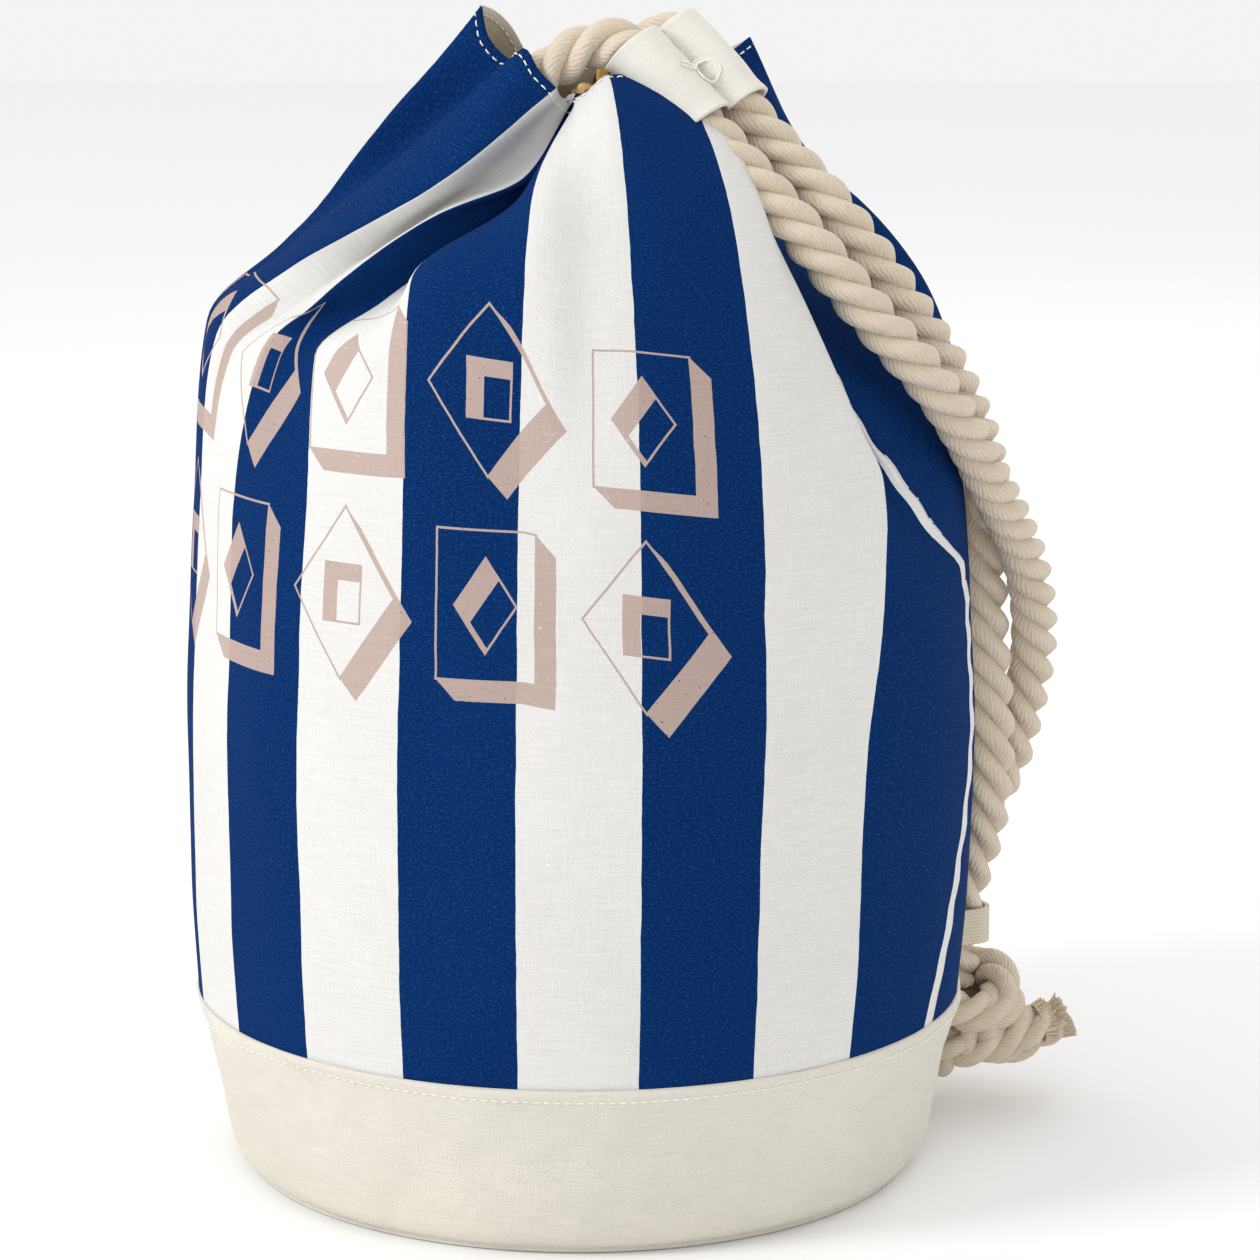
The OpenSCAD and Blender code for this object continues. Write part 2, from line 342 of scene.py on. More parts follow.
def striped():
    """The printed stripes, and two rows of outlined tiles with block shadows in one ink."""
    m = Nodes("canvas_striped", rough=0.95, Specular_IOR_Level=0.06)
    u, v = m.uv("cloth")
    h = weave_height(m, u, v, 0.0010)
    wander = (m.noise(u * 6, v * 60, 1.0, 3, w=7.0) - 0.5) * 0.0011
    uu = u + wander
    turn = (uu * (-360 / RING) + FIRST_BLUE) / (STRIPE * 2)
    blue = (turn.wrap(1.0)).under(0.5) * turn.over(0.0)
    cloud = m.noise(u, v, 14.0, 4, w=2.0)
    navy = m.mix(cloud, NAVY, NAVY_DEEP)
    fibres = m.noise(u * 900, v * 1300, 1.0, 2, w=9.0)
    navy = m.mix((fibres - 0.5).max(0.0) * 1.3, navy, srgb(60, 100, 160))
    cloth = m.mix(blue, WHITE, navy)

    # rows of tiles, in cloth millimetres, sloping down a little to the right of the front
    x, y = uu * 1000.0, v * 1000.0
    y = y + (x + SLOPE_START).max(0.0) * ROW_SLOPE
    half_w, half_h, drop = TILE_HALF_W, TILE_HALF_H, BLOCK_DROP
    col = ((x + TILE_START) / TILE_PITCH + 0.5).floor()
    px = x + TILE_START - col * TILE_PITCH + TILE_SHIFT
    ink = None
    for row, mid in enumerate((ROW_LOW, ROW_HIGH)):
        py = y - mid - TILE_SHIFT
        kind = (col + float(row)).wrap(2.0).under(0.5)  # 1: square with a diamond hole
        ax, ay = px.abs(), py.abs()

        def square(w, hh):
            return (ax - w).max(ay - hh)

        def diamond(w, hh):
            return (ax * (1.0 / w) + ay * (1.0 / hh) - 1.0) * (w * hh / math.hypot(w, hh))

        def swept_square(w, hh):
            d = (px - drop - w).max(px * -1.0 - w).max(py - hh).max(py * -1.0 - hh - drop)
            return d.max(((px + py).abs() - w - hh) * DIAGONAL)

        def swept_diamond(w, hh):
            k, length = w * hh / math.hypot(w, hh), drop * (1 / w - 1 / hh)
            up, lean = px * (1 / w), py * (1 / hh)
            d = (up + lean - 1.0 - max(length, 0)).max((up + lean) * -1.0 - 1.0 - max(-length, 0))
            d = d.max(up - lean - 1.0 - drop * (1 / w + 1 / hh)).max(lean - up - 1.0) * k
            return d.max(((px + py).abs() - max(w, hh)) * DIAGONAL)

        def choose(a, b):
            return a * kind + b * (kind * -1.0 + 1.0)

        def cut_out():
            return choose(diamond(11.5, 17.0), square(8.0, 10.5))

        face = choose(square(half_w, half_h), diamond(half_w + 4, half_h + 4))
        block = choose(swept_square(half_w, half_h), swept_diamond(half_w + 4, half_h + 4))
        hole = cut_out()
        ax, ay = (px - drop * 0.8).abs(), (py + drop * 0.8).abs()
        hole_moved = cut_out()
        line = face.abs().min(hole.abs()).under(LINE_HALF)
        shadow = block.under(0.0) * face.over(0.0)
        wall = hole.under(0.0) * hole_moved.over(0.0)
        mark = line.max(shadow).max(wall)
        ink = mark if ink is None else ink.max(mark)
    shown = x.under(PRINT_RIGHT) * x.over(PRINT_LEFT)
    worn = m.noise(u * 700, v * 700, 1.0, 2, w=3.0)
    ink = ink * shown * (worn.under(0.70) * 0.85 + 0.15)
    colour = m.mix(ink * 0.93, cloth, TAUPE)
    tone = h * 0.22 + cloud * 0.10 + 0.74
    return m.finish(m.shade(colour, tone), h, 0.0003)


def rope_material():
    m = Nodes("cotton_rope", rough=0.95, Sheen_Weight=0.25, Sheen_Roughness=0.5,
              Specular_IOR_Level=0.15)
    u, v = m.uv("yarn")
    jitter = (m.noise(u * 3, v * 90, 1.0, 2) - 0.5) * 0.10
    yarn = ((u + jitter) * (TAU * YARNS)).sin() * 0.5 + 0.5
    ply = ((v * 900.0) + u * 60.0).sin() * 0.5 + 0.5
    fuzz = m.noise3(m.place(), 1400.0, 3)
    h = yarn * 0.45 + ply * 0.2 + fuzz * 0.8
    patch = m.noise3(m.place(), 60.0, 3)
    # painted shade in the grooves between the yarns, with random darker patches mixed in
    groove_shade_and_patches = (yarn * -1.0 + 1.0) * 0.24 + patch * 0.36
    colour = m.mix(groove_shade_and_patches, ROPE, ROPE_DARK)
    return m.finish(m.shade(colour, fuzz * 0.18 + 0.86), h, 0.00045)


def plain(name, colour, rough, scale, depth):
    m = Nodes(name, rough=rough)
    n = m.noise3(m.place(), scale, 3)
    cloud = m.noise3(m.place(), 90.0, 3)
    tone = n * 0.16 + cloud * 0.14 + 0.82
    return m.finish(m.shade(colour, tone), n, depth)


def brass_material():
    m = Nodes("brass", rough=0.3, Metallic=1.0)
    n = m.noise3(m.place(), 260.0, 4)
    fine = m.noise3(m.place(), 2600.0, 2)
    colour = m.mix(n, srgb(186, 150, 88), srgb(128, 98, 52))
    return m.finish(colour, fine, 0.00004, rough=n * 0.2 + 0.2)


def webbing_material():
    m = Nodes("cotton_webbing", rough=0.9, Sheen_Weight=0.1)
    where = m.tree.nodes.new("ShaderNodeSeparateXYZ")
    m.tree.links.new(m.place(), where.inputs[0])
    x, z = E(m, where.outputs[0]), E(m, where.outputs[2])
    rib = (z * (TAU / 0.0013)).sin() * 0.5 + 0.5
    cross = ((x + z * 0.5) * (TAU / 0.0018)).sin() * 0.5 + 0.5
    h = rib * 0.7 + cross * 0.3
    return m.finish(m.shade(srgb(228, 217, 196), h * 0.2 + 0.76), h, 0.0003)


MAT_STRIPE = striped()
MAT_INSIDE = canvas("canvas_inside", CREAM, srgb(212, 201, 180))
MAT_BAND = canvas("canvas_natural", NATURAL, srgb(228, 222, 209), depth=0.0004, pitch=0.0013)
MAT_KEEPER = canvas("canvas_keeper", COTTON, srgb(233, 228, 216), pitch=0.0009, depth=0.00018)
MAT_ROPE = rope_material()
MAT_THREAD = plain("thread", srgb(243, 240, 232), 0.7, 3000.0, 0.0001)
MAT_TUFT = plain("rope_cut_end", srgb(218, 200, 172), 0.95, 1500.0, 0.0006)
MAT_BRASS = brass_material()
MAT_WEB = webbing_material()

# ---------------------------------------------------------------- the rope, as the CAD has it
slide_dir = unit([0.66, -0.27, -0.70])
step_dir = unit([0.60, 0.72, 0.29])
PAIR_STEP = 20.5


def front_at(s):
    return np.array([18, -40, 432.0]) + s * slide_dir


def rear_at(s):
    return front_at(s) + PAIR_STEP * step_dir


front_tail = [[150, 66, 48], [144, 69, 60], [143, 70.8, 74], [148, 71, 92], [160, 67, 115],
              [170, 61, 138], [175, 53, 161], [177.5, 42, 184], [176.5, 29, 205], [172, 14, 226],
              [164, -5, 246], [154, -26, 266], [143, -46, 288], [128, -62, 311], [105, -69, 337]]
neck_loop = [[7, -38.5, 431], [-7, -38, 424], [-19, -35, 412], [-29, -28, 399], [-37, -17, 387],
             [-41, 0, 380], [-37, 17, 378], [-26, 31, 380], [-11, 39, 386], [6, 37, 395],
             [18, 27, 407], [24, 12, 418], [27, -4, 427], [31.5, -18, 431]]
rear_tail = [[115, -47, 343], [132, -35, 318], [145, -18, 293], [154, 2, 268], [156, 18, 244],
             [157, 27, 220], [158, 31, 200], [161, 35, 170], [162, 39, 140], [160, 46, 115],
             [154.5, 52, 92], [150.3, 53.7, 74], [150, 55, 62], [153, 61, 50]]
route = (front_tail + [front_at(s) for s in (96, 72, 48, 26, 4)] + neck_loop
         + [rear_at(s) for s in (10, 30, 52, 74, 96)] + rear_tail)
ROPE_D = 0.018
LAY = 0.041  # rope length in which a strand goes round once
STRAND_SIDES = 14
# a strand's radius, and the circle of the strands' middles, as shares of the rope's diameter
STRAND_SHARE, CIRCLE_SHARE = 0.262, 0.246


def strands(paths, name, diameter=ROPE_D, lay=LAY):
    """Three-strand laid rope along each path, as one mesh with a yarn UV map."""
    verts, faces, uvs = [], [], []
    base, sides = 0, STRAND_SIDES
    for k, raw in enumerate(paths):
        path, s = even(np.asarray(raw, float), 0.0016)
        _, n, b = frames(path)
        wobble = np.array([noise.noise(Vector((x * 34, 3.1 * k, 0))) for x in s]) * 0.05
        rs, ro = diameter * STRAND_SHARE, diameter * CIRCLE_SHARE
        for j in range(3):
            alpha = -(TAU * s / lay) + TAU * j / 3 + wobble * 2
            centre = path + ro * (np.cos(alpha)[:, None] * n + np.sin(alpha)[:, None] * b)
            phi = np.linspace(0, TAU, sides, endpoint=False)
            plump = 1 + wobble * 0.8
            across = (np.cos(phi)[None, :, None] * n[:, None, :]
                      + np.sin(phi)[None, :, None] * b[:, None, :])
            ring = centre[:, None, :] + (rs * plump)[:, None, None] * across
            rows = len(path)
            verts.append(ring.reshape(-1, 3))
            f = grid_faces(rows, sides, wrap=True)
            faces.append(f + base)
            turn = (ro / rs) * alpha / TAU
            i = f // sides
            left = f[:, 0] % sides
            jj = np.stack([left, left + 1, left + 1, left], 1)
            uvs.append(np.stack([jj / sides + turn[i], s[i]], -1).reshape(-1, 2))
            base += rows * sides
    return mesh_object(name, np.vstack(verts), np.vstack(faces), np.vstack(uvs), "yarn", [MAT_ROPE])


rope_path = catmull(np.array(route) * MM, 14)
rope_line, _ = even(rope_path, 0.006)
rope = strands([rope_path], "drawstring_rope")
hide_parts("rope")
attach(rope, "bag")

# the knot: one tail wraps the other, and both cut ends point down and out
wrap_path = [[150, 64, 55], [140, 56, 50], [140, 44, 44], [152, 38, 41], [166, 44, 40],
             [171, 58, 39], [164, 73, 38], [150, 80, 36], [138, 72, 34], [137, 57, 30],
             [147, 46, 25], [161, 45, 25], [173, 48, 29], [187, 53, 33]]
core_path = [[153, 61, 54], [150, 66, 45], [156, 66, 34], [164, 58, 24], [172, 60, 20],
             [183, 66, 24], [196, 65, 31]]
cross_path = [[140, 66, 22], [146, 52, 18], [160, 44, 34], [168, 48, 46], [166, 60, 52],
              [158, 70, 50]]
knot = strands([catmull(np.array(p) * MM, 12) for p in (wrap_path, core_path, cross_path)],
               "rope_knot_turns", diameter=0.0165, lay=0.036)
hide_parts("rope_knot")
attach(knot, "bag")

GOLDEN = 2.39996  # the golden angle, which spreads the yarn ends evenly
YARN_W = 0.0008
YARN_SUNK = 0.004  # how deep a yarn end starts inside the rope


def tuft(name, tip, direction, count=170, spread=0.0075, length=0.0028):
    """The cut end of a rope: a bundle of short yarn ends."""
    d = unit(direction)
    a = unit(np.cross(d, [0, 0, 1.0]))
    b = np.cross(d, a)
    verts, faces = [], []
    for k in range(count):
        r = spread * math.sqrt((k + 0.5) / count)
        th = k * GOLDEN
        foot = tip + r * (math.cos(th) * a + math.sin(th) * b) - d * YARN_SUNK
        lean = d + 0.175 * rng.normal(size=3) + (math.cos(th) * a + math.sin(th) * b) * 0.25
        head = foot + unit(lean) * (YARN_SUNK + length * rng.uniform(0.4, 1.0))
        start = len(verts)
        for end, ww in ((foot, YARN_W), (head, YARN_W * 0.55)):
            for q in range(5):
                verts.append(end + ww * (math.cos(TAU * q / 5) * a + math.sin(TAU * q / 5) * b))
        for q in range(5):
            faces.append((start + q, start + (q + 1) % 5, start + 5 + (q + 1) % 5, start + 5 + q))
        faces.append(tuple(start + 5 + q for q in range(5)))
    ob = mesh_object(name, verts, faces, mats=[MAT_TUFT])
    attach(ob, "bag")
    return ob


tufts = [tuft("cut_end_a", np.array([187, 53, 33]) * MM, [14, 5, 4]),
         tuft("cut_end_b", np.array([195, 65, 30.5]) * MM, [13, -1, 7], spread=0.0068)]

# ---------------------------------------------------------------- the wall panel


def pchip(x, y, q):
    """Monotone cubic interpolation of the columns of y."""
    x, y = np.asarray(x, float), np.asarray(y, float)
    h = np.diff(x)
    d = np.diff(y, axis=0) / h[:, None]
    m = np.zeros_like(y)
    m[0], m[-1] = d[0], d[-1]
    w1, w2 = (2 * h[1:] + h[:-1])[:, None], (h[1:] + 2 * h[:-1])[:, None]
    same = d[1:] * d[:-1] > 0
    with np.errstate(divide="ignore", invalid="ignore"):
        mid = (w1 + w2) / (w1 / d[:-1] + w2 / d[1:])
    m[1:-1] = np.where(same, mid, 0)
    i = np.clip(np.searchsorted(x, q) - 1, 0, len(x) - 2)
    t = ((q - x[i]) / h[i])[:, None]
    hh = h[i][:, None]
    return ((2 * t**3 - 3 * t**2 + 1) * y[i] + (t**3 - 2 * t**2 + t) * hh * m[i]
            + (-2 * t**3 + 3 * t**2) * y[i + 1] + (t**3 - t**2) * hh * m[i + 1])


BAND_Z, SHOULDER_Z = 66, 262.0
body_z = [BAND_Z, 110, 170, 215, 240, SHOULDER_Z]
body_r = [146.6, 149.6, 150.8, 148.8, 147.4, 145.6]
SEAM = 62.5  # cloth angle of the side seam, in degrees from the middle of the front

DRIFT_Z = [BAND_Z, 110, 150, 182, 215, 235, 256, SHOULDER_Z]
# how far the cloth at this angle is pulled round to the right, in degrees, at each height
DRIFT = {
    25.5: [0, 0, 0, 0.5, 1, 1, 1.5, 1.5],
    42.5: [0, 0.7, 0.5, 1.2, 4, 5.6, 6.8, 7.2],
    61: [2, 9, 15, 18, 18.5, 15.5, 1.5, -1],
    79.5: [2, 7, 11, 13, 13, 11, 6, 4],
    97: [1, 3, 5, 6, 6, 6, 5, 5],
    140: [0] * 8,
}


def cloth_azimuth(theta, z):
    """Where the cloth at this angle lies round the bag: it is pulled round to the right side."""
    front = (np.asarray(theta, float) + 180) % 360 - 180
    size = pchip(DRIFT_Z, np.array(list(DRIFT.values()), float).T, np.array([z]))[0]
    return front + pchip([-180, 0, *DRIFT, 180], np.r_[0, 0, size, 0][:, None], front)[:, 0]


# Each line of the gather, in millimetres: cloth angle, where its hem ends, and its way there.
# The way is a list of points that it passes, or one handle that shapes a plain curve.
GATHER = [
    (62.5, (24, 4, 410), [(117, -74, 278), (104, -76, 296), (92, -70, 318), (74, -46, 350)]),
    (60.5, (25, 3, 410), [(114, -77, 278), (102, -79, 296), (90, -72, 318), (73, -48, 350)]),
    (56, (28, 0, 410), [(111, -80, 278), (100, -78, 296), (87, -70, 320), (71, -48, 351)]),
    (50, (32, -4, 410), [(109, -82, 278), (98, -77, 298), (84, -69, 324), (70, -50, 352)]),
    (46, (36, -8, 411), [(109, -85, 278), (99, -82, 298), (86, -78, 325), (74, -64, 350)]),
    (42.5, (40, -12, 412), [(110, -89, 278), (102, -88, 298), (90, -86, 325), (78, -77, 350)]),
    (34, (42, -24, 416), (68, -74, 392)),
    (25.5, (34, -36, 420), (60, -92, 398)),
    (17, (24, -44, 421), (38, -100, 404)),
    (8.5, (11, -50, 421), (18, -104, 406)),
    (2, (3, -51, 415), (4, -106, 405)),
    (-4, (-1, -45, 412), [(-10, -133, 330), (-10, -121, 357), (-8, -98, 386)]),
    (-9, (0, -34, 411), [(-21, -132, 330), (-20, -121, 356), (-17, -97, 384)]),
    (-13, (2, -28, 411), [(-31, -130, 329), (-31, -118, 355), (-19, -86, 383)]),
    (-17, (2, -24, 411), [(-41, -127, 328), (-42, -115, 354), (-18, -74, 382)]),
    (-21, (1, -21, 411), [(-51, -123, 328), (-52, -111, 354), (-17, -64, 380)]),
    (-25.5, (-1, -19, 411), [(-61, -119, 328), (-59, -104, 353), (-16, -56, 378)]),
    (-30, (-4, -18, 410), [(-71, -114, 328), (-61, -92, 350), (-16, -49, 377)]),
    (-34, (-5, -18, 409), [(-80, -108, 328), (-62, -84, 347), (-16, -46, 377), (-8, -34, 390)]),
    (-38, (-5, -19, 409), [(-88, -100, 327), (-65, -79, 345), (-17, -45, 377), (-9, -36, 389)]),
    (-42.5, (-4, -22, 408), [(-95, -91, 325), (-70, -76, 343), (-18, -47, 377), (-9, -41, 388)]),
    (-47, (-3, -27, 408), [(-99, -84, 323), (-76, -76, 343), (-21, -52, 378), (-10, -46, 388)]),
    (-53, (-2, -34, 408), [(-106, -78, 322), (-84, -78, 344), (-36, -63, 376), (-13, -52, 386)]),
    (-59.5, (-3, -41, 409), [(-113, -71, 322), (-92, -80, 344), (-50, -72, 373), (-21, -58, 383)]),
    (-69, (-6, -44, 412), [(-126, -48, 318), (-98, -56, 341), (-56, -54, 370), (-27, -48, 389)]),
    (-76.5, (-8, -49, 416), [(-133, -40, 324), (-104, -54, 352), (-84, -62, 364), (-50, -68, 384)]),
    (-80.5, (-14, -48, 422), [(-137, -24, 326), (-108, -38, 354), (-86, -50, 369), (-32, -56, 409)]),
    (-84.3, (-20, -42, 430), [(-138, -14, 326), (-110, -24, 353), (-89, -31, 371), (-57, -37, 397)]),
    (-85.6, (-24, -30, 424), [(-139, -11, 326), (-110, -18, 352), (-88, -22, 370), (-56, -24, 395)]),
    (-87, (-29, -27, 427), [(-139, -8, 326), (-112, -12, 353), (-91, -14, 371), (-60, -17, 396)]),
    (-90.5, (-34, -25, 434), (-78, -10, 410)),
    (-94, (-36, -22, 444), (-64, -8, 404)),
    (-97, (-31, -11, 441), (-64, 4, 396)),
    (-104, (-24, -3, 433), (-66, 18, 388)),
    (-115, (-18, 4, 418), (-67, 39, 378)),
    (-128, (-18, 14, 409), (-71, 62, 373)),
    (-140, (-42, 38, 410), (-80, 74, 392)),
    (-150, (-34, 46, 412), (-60, 90, 392)),
    (-160, (-10, 29, 414), (-36, 86, 369)),
    (-175, (-4, 34, 415), (-8, 93, 368)),
    (-190, (12, 60, 416), (22, 106, 394)),
    (-200, (22, 54, 416), (44, 102, 390)),
    (-212, (16, 26, 413), (58, 72, 370)),
    (-225, (24, 18, 412), (74, 58, 372)),
    (-238, (48, 40, 418), [(136, 66, 288), (130, 62, 314), (117, 60, 340), (97, 54, 366)]),
    (-248, (65, 31, 427), [(140, 52, 286), (142, 46, 303), (131, 43, 332), (120, 42, 348),
                           (104, 42, 366), (90, 40, 378)]),
    (-254, (62, 28, 425), [(144, 40, 284), (145, 33, 300), (141, 31, 316), (134, 30, 332),
                           (123, 30, 348), (107, 30, 365), (94, 31, 375)]),
    (-262, (54, 22, 420), [(146, 28, 284), (146.5, 24, 300), (141, 21, 313), (130, 20, 326),
                           (105, 20, 356), (84, 20, 380)]),
    (-275, (34, 12, 411), [(144, 0, 284), (137, 2, 303), (119, 4, 330), (96, 6, 356), (68, 8, 384)]),
    (-285, (27, 7, 409), [(142, -24, 280), (133, -23, 304), (108, -10, 340), (74, 0, 370)]),
    (-290, (25, 5, 409), [(130, -52, 279), (116, -53, 305), (96, -35, 338), (62, -8, 372)]),
    (-297.5, (24, 4, 410), [(117, -74, 278), (104, -76, 296), (92, -70, 318), (74, -46, 350)]),
]


def ring_points(theta, z):
    """Points of the body's plain wall at one height."""
    r = pchip(body_z, np.array(body_r)[:, None], np.array([z]))[0, 0]
    a = np.radians(cloth_azimuth(theta, z))
    return np.stack([r * np.sin(a), -r * np.cos(a), np.full_like(a, z)], -1)


COLS, LOW_ROWS, TOP_ROWS = 420, 50, 68
LINE_STEPS = 160
# a plain curve leaves the body at this height and radius, closer in behind the hanging rope
LEAVE_Z, LEAVE_R, LEAVE_DIP, DIP_AZ, DIP_WIDTH = 302, 142.5, 5, 86, 16
guide = GATHER[::-1]
g_theta = np.array([g[0] for g in guide])
theta = np.linspace(SEAM - 360, SEAM, COLS)


def gather_line(th, hem, inward):
    """One line of cloth from the shoulder to the hem, as evenly spaced points."""
    at = np.array([float(th)])
    foot = ring_points(at, SHOULDER_Z)[0]
    if isinstance(inward, list):
        way = np.array([ring_points(at, SHOULDER_Z - 25)[0], foot] + inward + [hem], float)
        d = np.r_[0, np.cumsum(np.linalg.norm(np.diff(way, axis=0), axis=1))]
        curve = pchip(d, way, np.linspace(d[1], d[-1], LINE_STEPS))
    else:
        a = math.radians(float(cloth_azimuth(at, SHOULDER_Z)[0]))
        r = LEAVE_R - LEAVE_DIP * math.exp(-(((math.degrees(a) - DIP_AZ) / DIP_WIDTH) ** 2))
        leave = np.array((r * math.sin(a), -r * math.cos(a), LEAVE_Z))
        t = np.linspace(0, 1, LINE_STEPS)[:, None]
        curve = ((1 - t) ** 3 * foot + 3 * (1 - t) ** 2 * t * leave
                 + 3 * (1 - t) * t**2 * np.array(inward) + t**3 * np.array(hem))
    d = np.r_[0, np.cumsum(np.linalg.norm(np.diff(curve, axis=0), axis=1))]
    q = np.linspace(0, d[-1], TOP_ROWS + 1)[1:]
    return np.stack([np.interp(q, d, curve[:, k]) for k in range(3)], 1)


lines = np.array([gather_line(*g) for g in guide])
upper = np.stack([pchip(g_theta, lines[:, i], theta) for i in range(TOP_ROWS)])
low_z = np.linspace(BAND_Z, SHOULDER_Z, LOW_ROWS)
lower = np.stack([ring_points(theta, z) for z in low_z])
wall_pts = np.vstack([lower, upper])
ROWS = LOW_ROWS + TOP_ROWS
BODY_LEN, NECK_LEN = 0.197, 0.212  # cloth lengths below and above the shoulder, in metres
CANVAS_T, BAND_T, KEEPER_T = 0.0011, 0.0013, 0.0014  # cloth thicknesses
wall_v = np.r_[np.linspace(0, BODY_LEN, LOW_ROWS),
               BODY_LEN + NECK_LEN * np.arange(1, TOP_ROWS + 1) / TOP_ROWS]
wall_u = theta * RING / 360


def surface_normals(p):
    du = np.gradient(p, axis=1)
    dv = np.gradient(p, axis=0)
    return unit(np.cross(du, dv))


def soft_noise(u, v, seed, fu, fv):
    """Smooth noise on the cloth grid."""
    out = np.zeros((len(v), len(u)))
    for i, vv in enumerate(v):
        for j, uu in enumerate(u):
            out[i, j] = noise.noise(Vector((uu * fu, vv * fv, seed)))
    return out


normals = surface_normals(wall_pts)
bulk = soft_noise(wall_u[::3], wall_v[::3], 3.3, 11, 7)
fine = soft_noise(wall_u[::2], wall_v[::2], 8.1, 34, 15)


def regrid(a, step):
    """Noise that was made on every step-th row and column, back on the whole grid."""
    u0, v0 = np.arange(COLS)[::step], np.arange(ROWS)[::step]
    mid = np.stack([np.interp(np.arange(COLS), u0, row) for row in a])
    return np.stack([np.interp(np.arange(ROWS), v0, mid[:, c]) for c in range(COLS)], 1)


# rise fades the dents out at the band and the hem; pucker and ridge follow the side seam
rise = (np.clip(wall_v[:, None] / 0.06, 0, 1)
        * np.clip((wall_v[-1] - wall_v[:, None]) / 0.05, 0, 1))
away = (theta[None, :] + 180) % 360 - 180
seam_gap = np.abs(away - SEAM) * RING / 360 * 1000
pucker = np.sin(wall_v[:, None] * 1000 * TAU / 17 + 1.3 * np.sin(wall_v[:, None] * 40))
pucker = pucker * np.exp(-(seam_gap / 9.0) ** 2) * 0.55
ridge = 0.9 * np.exp(-(((away - SEAM + 1.2) * RING / 0.36 / 3.0) ** 2))
gather_fold = np.sin(np.radians(theta[None, :] * 9) + 2.2 * np.sin(np.radians(theta[None, :] * 2)))
gather_fold = gather_fold * np.clip((wall_v[:, None] - 0.10) / 0.10, 0, 1) * 0.7
seam_lift = np.exp(-wall_v[:, None] / 0.030) * np.sin(np.radians(theta[None, :] * 23)) * 0.35
push = rise * (2.2 * regrid(bulk, 3) + 0.9 * regrid(fine, 2)
               + gather_fold + seam_lift + pucker + ridge)
# behind the hanging rope the cloth is not pushed out
rope_clear = np.exp(-(((away - 88) / 26) ** 2))
push = push - np.maximum(push, 0) * rope_clear * 0.8
wall_pts = (wall_pts + normals * push[..., None]) * MM
faces = grid_faces(ROWS, COLS)
uv = np.stack([wall_u[faces % COLS], wall_v[faces // COLS]], -1).reshape(-1, 2)
wall = mesh_object("striped_wall", wall_pts.reshape(-1, 3), faces, uv, "cloth",
                   [MAT_STRIPE, MAT_INSIDE])
solidify(wall, CANVAS_T, -1, 1)
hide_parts("wall_panel")
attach(wall, "bag")

STITCH, STITCH_GAP, STITCH_R = 0.0025, 0.0013, 0.0003  # length, gap and radius


def dashes(name, line, out, node=None):
    """A row of stitches along a line, sunk a little at each end."""
    d = np.r_[0, np.cumsum(np.linalg.norm(np.diff(line, axis=0), axis=1))]
    verts, faces = [], []
    for s0 in np.arange(0, d[-1] - STITCH, STITCH + STITCH_GAP):
        s = s0 + STITCH * np.array([0, 0.15, 0.5, 0.85, 1])
        p = np.stack([np.interp(s, d, line[:, k]) for k in range(3)], 1)
        o = unit(np.stack([np.interp(s, d, out[:, k]) for k in range(3)], 1))
        p = p + o * (np.array([-0.1, 0.28, 0.42, 0.28, -0.1]) * MM)[:, None]
        t = unit(p[-1] - p[0])
        side = np.cross(t, o)
        w = STITCH_R * np.array([0.4, 1, 1.05, 1, 0.4])
        start = len(verts)
        for i in range(5):
            for q in range(6):
                across = math.cos(TAU * q / 6) * side[i] + math.sin(TAU * q / 6) * o[i]
                verts.append(p[i] + w[i] * across)
        for i in range(4):
            for q in range(6):
                a, b = start + i * 6 + q, start + i * 6 + (q + 1) % 6
                faces.append((a, b, b + 6, a + 6))
        faces.append(tuple(start + q for q in range(5, -1, -1)))
        faces.append(tuple(start + 24 + q for q in range(6)))
    ob = mesh_object(name, verts, faces, mats=[MAT_THREAD])
    if node:
        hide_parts(node)
    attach(ob, "bag")
    return ob


final_n = surface_normals(wall_pts)
hem_row = ROWS - 2
hem_stitch = dashes("hem_stitches", wall_pts[hem_row], final_n[hem_row], node="hem_topstitching")
hem_inside = wall_pts[hem_row] - final_n[hem_row] * CANVAS_T
hem_inner = dashes("hem_stitches_inside", hem_inside, -final_n[hem_row])

# ---------------------------------------------------------------- the base band
BAND_COLS = 300
BAND_WIDTH = 0.92  # round the bag
BAND_STITCH_Z = 62.6
band_prof = np.array([[121, 1.4], [127, 1.6], [131, 3.2], [133.6, 7], [135.4, 13], [137.6, 22],
                      [140.2, 34], [143, 47], [145.6, 58], [147.3, 64.5], [147.6, 66.6],
                      [146.9, 67.6]])
prof, prof_s = even(catmull(np.c_[band_prof, np.zeros(len(band_prof))], 6), 1.6)
az = np.radians(np.arange(BAND_COLS) * 360 / BAND_COLS)
band = np.zeros((len(prof), BAND_COLS, 3))
for i, (r, z, _) in enumerate(prof):
    edge = np.clip((z - 1.5) / 6, 0, 1) * np.clip((67 - z) / 5, 0, 1)
    for j, a in enumerate(az):
        x, y = math.sin(a), -math.cos(a)
        dent = noise.noise(Vector((x * 3.2, y * 3.2, z * 0.022))) * 2.0
        dent += noise.noise(Vector((x * 9, y * 9, z * 0.06 + 5))) * 0.9
        crease = noise.noise(Vector((x * 5 + z * 0.03, y * 5, z * 0.05 + 9)))
        dent -= max(0, 1 - abs(crease) * 12) * 0.6
        rr = r + edge * dent
        band[i, j] = (rr * x * MM, rr * y * MM, z * MM)
f = grid_faces(len(prof), BAND_COLS, wrap=True)
ju = f % BAND_COLS
ju = np.where((ju == 0) & (f[:, :1] % BAND_COLS == BAND_COLS - 1), BAND_COLS, ju)
uv = np.stack([ju * BAND_WIDTH / BAND_COLS, prof_s[f // BAND_COLS] * MM], -1).reshape(-1, 2)
